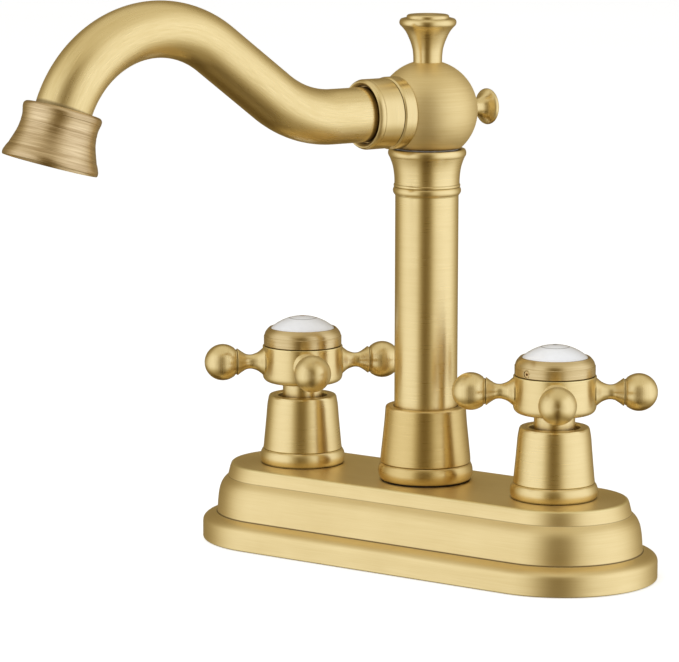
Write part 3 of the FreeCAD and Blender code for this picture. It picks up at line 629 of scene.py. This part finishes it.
for tag in ("hot", "cold"):
    x = XH[tag]
    hub = turned(tag + "_hub_body", hub_items, gold, shift(x), 144)
    put(hub, tag + "_handle", tag + "_handle_hub")
    for k in range(4):
        d = plan_dir(AZ[tag] + 90 * k)
        m = place_along((x, 0, ARM_Z), d)
        o = turned("%s_arm_%d_turned" % (tag, k + 1), arm_items, gold, m, 72, step=0.8)
        put(o, tag + "_handle", "%s_arm_%d" % (tag, k + 1))
    d = plan_dir(SCREW_AZ[tag])
    ring = turned(tag + "_cap_ring_shell", ring_items, gold_ring, shift(x), 160)
    bore(ring, (x + d[0] * 12.0, d[1] * 12.0, 67.9), d, 1.16, 6.0, 32)
    put(ring, tag + "_handle", tag + "_cap_ring")
    b = turned(tag + "_porcelain_button", button_items, porcelain_hot if tag == "hot" else porcelain_cold, shift(x), 128, step=0.7, with_loc=True)
    put(b, tag + "_handle", tag + "_index_button", slot="porcelain")

# ------------------------------------------------------------------ ball, finial, knob
a0 = math.acos((BALL_Z - 136.9) / BALL_R)
ball_items = [(0, 136.9), (math.sin(a0) * BALL_R, 136.9, 0.25)]
ball_items += [("s", [(BALL_R * math.sin(a), BALL_Z - BALL_R * math.cos(a)) for a in np.linspace(a0 + 0.06, math.pi - 0.03, 44)]), (0, BALL_Z + BALL_R)]
put(turned("spout_ball_skin", ball_items, gold_ball, None, 160), "spout", "spout_ball")
finial_items = [
    (0, 158.8), (2.5, 158.8), (2.5, 164.8, 0.02), (4.7, 164.8, 0.1), (4.75, 167.0, 0.1),
    ("s", [(4.97, 169.1), (5.35, 170.6), (5.8, 171.9), (6.35, 173.2), (6.97, 174.5), (7.75, 175.7), (8.55, 176.6), (8.95, 177.0)]),
    ("a", (9.35, 178.1), (8.8, 179.2)), (8.1, 179.42, 0.15),
    (7.35, 179.42, 0.08), (7.2, 179.2, 0.05), (7.05, 179.4, 0.08), (6.95, 180.1, 0.1), ("a", (6.6, 180.48), (6.0, 180.58)),
    ("s", [(4.0, 180.66), (2.0, 180.72), (0.4, 180.75)]), (0, 180.75),
]
put(turned("finial_turned", finial_items, gold, None, 112, step=0.7), "spout", "finial")
knob_items = [
    (0, 9.9), (2.0, 9.9), (2.0, 16.1, 0.02), (2.85, 16.1, 0.1), (2.8, 19.4, 0.1),
    ("s", [(3.05, 20.6), (3.5, 21.5), (4.2, 22.3), (5.0, 22.9), (5.5, 23.3)]),
    ("a", (5.97, 24.25), (5.35, 25.15)), (4.6, 25.4, 0.2),
    ("s", [(3.0, 25.52), (1.5, 25.58), (0.4, 25.6)]), (0, 25.6),
]
put(turned("rear_knob_turned", knob_items, gold, place_along((0, 0, SPOUT_Z0), -U), 80, step=0.6), "spout", "rear_knob")

# ------------------------------------------------------------------ nipple, nut
on_axis = place_along((0, 0, SPOUT_Z0), U)
put(turned("spout_boss_ring", [
    (7.75, 8.0), (9.0, 8.0), (9.0, 11.5), (11.2, 11.5, 0.05), (11.8, 12.2, 0.12), (11.8, 16.15, 0.12), (11.4, 16.6, 0.04),
    (10.2, 16.6, 0.05), (10.2, 21.7), (7.75, 21.7)], gold, on_axis, 144), "spout", "spout_nipple")
put(turned("union_nut_shell", [
    (10.2, 16.65, 0.05), (11.1, 16.65, 0.04), (11.45, 17.05, 0.12), (11.45, 23.9, 0.06), (11.36, 24.1, 0.06), (11.43, 24.3, 0.08),
    ("a", (11.2, 25.7), (10.7, 26.3)), (10.35, 26.2, 0.15), (9.35, 25.3, 0.1), (9.3, 24.5), (10.2, 24.5)], gold, on_axis, 144), "spout", "spout_union_nut")

# ------------------------------------------------------------------ spout tube
a1 = math.radians(A1)
end = math.radians(-(90.0 - BETA))


def spout_path(step=0.8, inside=3.6):
    pts = []        # (t, z, angle)

    def line(p, ang, length):
        k = max(2, int(length / step))
        for i in range(k):
            f = length * i / k
            pts.append((p[0] + f * math.cos(ang), p[1] + f * math.sin(ang), ang))
        return (p[0] + length * math.cos(ang), p[1] + length * math.sin(ang))

    p = line((T_START, SPOUT_Z0), 0.0, T1 - T_START)
    k = int(R1 * a1 / step)
    for i in range(k):
        q = a1 * i / k
        pts.append((p[0] + R1 * math.sin(q), p[1] + R1 * (1 - math.cos(q)), q))
    p = (p[0] + R1 * math.sin(a1), p[1] + R1 * (1 - math.cos(a1)))
    p = line(p, a1, L2)
    c = (p[0] + R2 * math.sin(a1), p[1] - R2 * math.cos(a1))
    k = int(R2 * (a1 - end) / step)
    for i in range(k):
        q = a1 + (end - a1) * i / k
        pts.append((c[0] - R2 * math.sin(q), c[1] + R2 * math.cos(q), q))
    p = (c[0] - R2 * math.sin(end), c[1] + R2 * math.cos(end))
    rim = (p[0] + L3 * math.cos(end), p[1] + L3 * math.sin(end))
    stop = line(p, end, L3 - TIP_LEN + inside)
    pts.append((stop[0], stop[1], end))
    return pts, rim


def bent_tube(name, ro, ri, mat, segs=112):
    pts, rim = spout_path()
    side = np.cross(U, (0, 0, 1.0))
    rows = []      # (centre, radial basis up, run)
    run = 0.0
    for i, (t, z, a) in enumerate(pts):
        if i:
            run += math.hypot(t - pts[i - 1][0], z - pts[i - 1][1])
        cen = U * t + np.array([0, 0, z])
        upv = -U * math.sin(a) + np.array([0, 0, math.cos(a)])
        rows.append((cen, upv, run))
    total = rows[-1][2]
    loops = [(c, u_, s_, ro) for c, u_, s_ in rows] + [(c, u_, s_, ri) for c, u_, s_ in rows[::-1]]
    co, brush, wear_and_shade = [], [], []
    for c, upv, s_, rr in loops:
        for j in range(segs):
            a = 2 * math.pi * j / segs
            co.append(c + rr * (math.cos(a) * side + math.sin(a) * upv))
            brush.append((rr * math.cos(a), rr * math.sin(a), s_ / 14.0))
            # painted shade: a dark ring on the tube's outer skin where it enters the nut and the outlet shell
            wear_and_shade.append(-0.75 if rr > TUBE_ID and (s_ > total - 4.3 or s_ < 4.1) else 0.0)
    faces, uvs = [], []
    n = len(loops)
    for i in range(n):
        i2 = (i + 1) % n
        for j in range(segs):
            j2 = (j + 1) % segs
            faces.append((i * segs + j, i2 * segs + j, i2 * segs + j2, i * segs + j2))
            uvs += [(j * 0.5, i * 0.8), (j * 0.5, i * 0.8 + 0.8), (j * 0.5 + 0.5, i * 0.8 + 0.8), (j * 0.5 + 0.5, i * 0.8)]
    return finish_mesh(name, np.array(co), faces, brush, wear_and_shade, uvs, mat), rim


tube, rim = bent_tube("spout_tube_skin", TUBE_R, TUBE_ID, gold_tube)
put(tube, "spout", "spout_tube")
put(turned("spout_collar_ring", [(8.93, 22.8, 0.05), (10.1, 22.8, 0.1), (10.1, 24.4, 0.1), (8.93, 24.4, 0.05)], raw_brass, on_axis, 96),
    "spout", slot="raw_brass")

# ------------------------------------------------------------------ outlet
OUT_DIR = U * math.cos(end) + np.array([0, 0, math.sin(end)])
RIM = U * rim[0] + np.array([0, 0, rim[1]])
OUT = place_along(RIM - OUT_DIR * TIP_LEN, OUT_DIR)
shell_items = [
    (9.1, 0.8, 0.05), (9.6, 0.05, 0.12), (11.4, 0.0, 0.5), ("a", (12.25, 0.5), (12.5, 1.4)),
    (12.45, 2.2, 0.1), (12.32, 2.42, 0.1), (12.30, 2.75, 0.1),
    ("s", [(12.07, 3.8), (11.99, 4.9), (12.03, 5.6)]),
    (12.04, 6.15, 0.1), (11.98, 6.35, 0.1), (12.07, 6.6, 0.1),
    ("s", [(12.18, 7.6), (12.42, 8.9), (12.85, 10.4), (13.35, 11.9), (13.84, 13.3)]),
    (13.95, 13.65, 0.1), (14.0, 13.85, 0.1), (14.18, 14.1, 0.1),
    ("s", [(14.62, 15.0), (14.98, 15.9)]), ("a", (15.2, 16.7), (15.14, 17.45)),
    (15.05, 17.75, 0.12), (14.6, 17.8, 0.12), (13.8, 16.2, 0.3), (12.1, 12.2, 0.2), (11.0, 11.7), (11.0, 3.6), (9.1, 3.6),
]
put(turned("outlet_shell_turned", shell_items, gold_tip, OUT, 160, step=0.9), "spout", "tip_shell", slot="brushed_gold_tip")

# ------------------------------------------------------------------ carried-over CAD nodes
by_slot = {"brushed_gold": raw_brass, "brushed_gold_tip": raw_brass, "raw_brass": raw_brass, "porcelain": alumina, "ceramic_disc": alumina,
           "rubber_seal": rubber, "foam_gasket": foam, "ptfe": ptfe, "aerator_plastic": moulded, "steel_screen": screen_steel, "steel_screw": steel}
slots = {s["node"]: s["material_slot"] for s in frame["record"]["subparts"]}
for n, o in frame["nodes"].items():
    mat = by_slot[slots[n]]
    if n in ("hot_set_screw", "cold_set_screw"):
        mat = raw_brass
    if n == "swivel_grub_screw":
        mat = dark_screw
    o.data.materials.clear()
    o.data.materials.append(mat)

# ------------------------------------------------------------------ floor and light


def floor_material():
    t = Tree("pale_floor")
    b = t.bsdf
    co = t.node("ShaderNodeTexCoord").outputs["Object"]
    n = t.noise(co, 3.0, 3.0, 0.5)
    t.link(t.mix(t.rng(n, 0.3, 0.7, 0, 1), (0.60, 0.60, 0.60), (0.57, 0.57, 0.57)), b.inputs["Base Color"])
    b.inputs["Roughness"].default_value = 0.7
    b.inputs["Specular IOR Level"].default_value = 0.15
    b.inputs["Emission Color"].default_value = (1, 1, 1, 1)
    b.inputs["Emission Strength"].default_value = 0.62
    return t.mat


me = bpy.data.meshes.new("floor")
me.from_pydata([(-9, -9, 0), (9, -9, 0), (9, 9, 0), (-9, 9, 0)], [], [(0, 1, 2, 3)])
me.materials.append(floor_material())
floor = bpy.data.objects.new("floor", me)
floor.location = (0, 0, -0.0002)
SC.collection.objects.link(floor)
floor.visible_glossy = False
floor.visible_shadow = False


def softbox(name, az, el, dist, w, h, power, target=(0, 0, 0.10), color=(1, 1, 1)):
    L = bpy.data.lights.new(name, "AREA")
    L.shape, L.size, L.size_y = "RECTANGLE", w, h
    L.energy, L.color = power, color
    o = bpy.data.objects.new(name, L)
    a, e = math.radians(az), math.radians(el)
    o.location = Vector(target) + dist * Vector((math.sin(a) * math.cos(e), -math.cos(a) * math.cos(e), math.sin(e)))
    o.rotation_euler = (Vector(target) - o.location).to_track_quat("-Z", "Y").to_euler()
    o.visible_camera = False
    SC.collection.objects.link(o)
    return o


CAM_AZ = 34.4
soft = softbox("soft_top", CAM_AZ - 40, 62, 1.5, 1.2, 1.2, 9.0)
soft.visible_glossy = False

world = bpy.data.worlds.new("studio")
SC.world = world
world.use_nodes = True
world.cycles.sampling_method = "NONE"
wn = world.node_tree
wn.nodes.clear()


def wnode(kind, **props):
    n = wn.nodes.new(kind)
    for k, v in props.items():
        setattr(n, k, v)
    return n


def wmath(op, a, b=None, c=None):
    n = wnode("ShaderNodeMath", operation=op)
    for i, v in enumerate((a, b, c)):
        if v is None:
            continue
        if isinstance(v, (int, float)):
            n.inputs[i].default_value = v
        else:
            wn.links.new(v, n.inputs[i])
    return n.outputs[0]


# Two long soft walls of light, left and right of the table, with a dark gap in
# front and a dim back wall.  Angles are in degrees round the column.
WALLS = [(-180, 0.26), (-140, 0.30), (-112, 0.62), (-92, 0.95), (-68, 1.06), (-42, 1.00), (-30, 0.72), (-18, 0.36), (-6, 0.18),
         (6, 0.22), (18, 0.50), (30, 0.85), (44, 1.04), (85, 1.10), (108, 0.92), (132, 0.52), (160, 0.30), (180, 0.26)]
tc = wnode("ShaderNodeTexCoord").outputs["Generated"]
sx = wnode("ShaderNodeSeparateXYZ")
wn.links.new(tc, sx.inputs[0])
wx, wy, wz = sx.outputs
azim = wmath("ARCTAN2", wx, wmath("MULTIPLY", wy, -1.0))          # 0 looks from -Y, positive towards +X
rel = wmath("SUBTRACT", azim, math.radians(CAM_AZ))
rel = wmath("WRAP", rel, math.pi, -math.pi)
turn = wmath("ADD", wmath("DIVIDE", rel, 2 * math.pi), 0.5)
curve = wnode("ShaderNodeFloatCurve")
cm = curve.mapping
cm.use_clip = False
pts = cm.curves[0].points
for k, (a, v) in enumerate(WALLS):
    pos = ((a + 180.0) / 360.0, v / 1.25)
    if k == 0:
        pts[0].location = pos
    elif k == len(WALLS) - 1:
        pts[-1].location = pos
    else:
        pts.new(*pos)
cm.update()
wn.links.new(turn, curve.inputs["Value"])
wall = wmath("MULTIPLY", curve.outputs[0], 1.25)
elev = wmath("ARCSINE", wz)


def wramp(v, a, b, lo, hi):
    n = wnode("ShaderNodeMapRange", interpolation_type="SMOOTHSTEP")
    n.inputs[1].default_value, n.inputs[2].default_value = math.radians(a), math.radians(b)
    n.inputs[3].default_value, n.inputs[4].default_value = lo, hi
    wn.links.new(v, n.inputs[0])
    return n.outputs[0]


high = wramp(elev, 30, 60, 0.0, 1.0)
wall = wmath("ADD", wmath("MULTIPLY", wall, wmath("SUBTRACT", 1.0, high)), wmath("MULTIPLY", high, 0.74))
wall = wmath("MULTIPLY", wall, wramp(elev, -60, -18, 0.30, 1.0))
comb = wnode("ShaderNodeCombineColor")
wn.links.new(wall, comb.inputs[0])
wn.links.new(wmath("POWER", wall, 1.2), comb.inputs[1])
wn.links.new(wmath("POWER", wall, 1.75), comb.inputs[2])

bg_gloss = wnode("ShaderNodeBackground")
bg_soft = wnode("ShaderNodeBackground")
bg_seen = wnode("ShaderNodeBackground")
wn.links.new(comb.outputs[0], bg_gloss.inputs[0])
bg_gloss.inputs[1].default_value = 1.0
bg_soft.inputs[0].default_value = (1, 1, 1, 1)
bg_soft.inputs[1].default_value = 0.62
bg_seen.inputs[0].default_value = (1, 1, 1, 1)
bg_seen.inputs[1].default_value = 1.0
lp = wnode("ShaderNodeLightPath")
m1 = wnode("ShaderNodeMixShader")
m2 = wnode("ShaderNodeMixShader")
wo = wnode("ShaderNodeOutputWorld")
wn.links.new(lp.outputs["Is Glossy Ray"], m1.inputs[0])
wn.links.new(bg_soft.outputs[0], m1.inputs[1])
wn.links.new(bg_gloss.outputs[0], m1.inputs[2])
wn.links.new(lp.outputs["Is Camera Ray"], m2.inputs[0])
wn.links.new(m1.outputs[0], m2.inputs[1])
wn.links.new(bg_seen.outputs[0], m2.inputs[2])
wn.links.new(m2.outputs[0], wo.inputs[0])

bpy.context.view_layer.update()
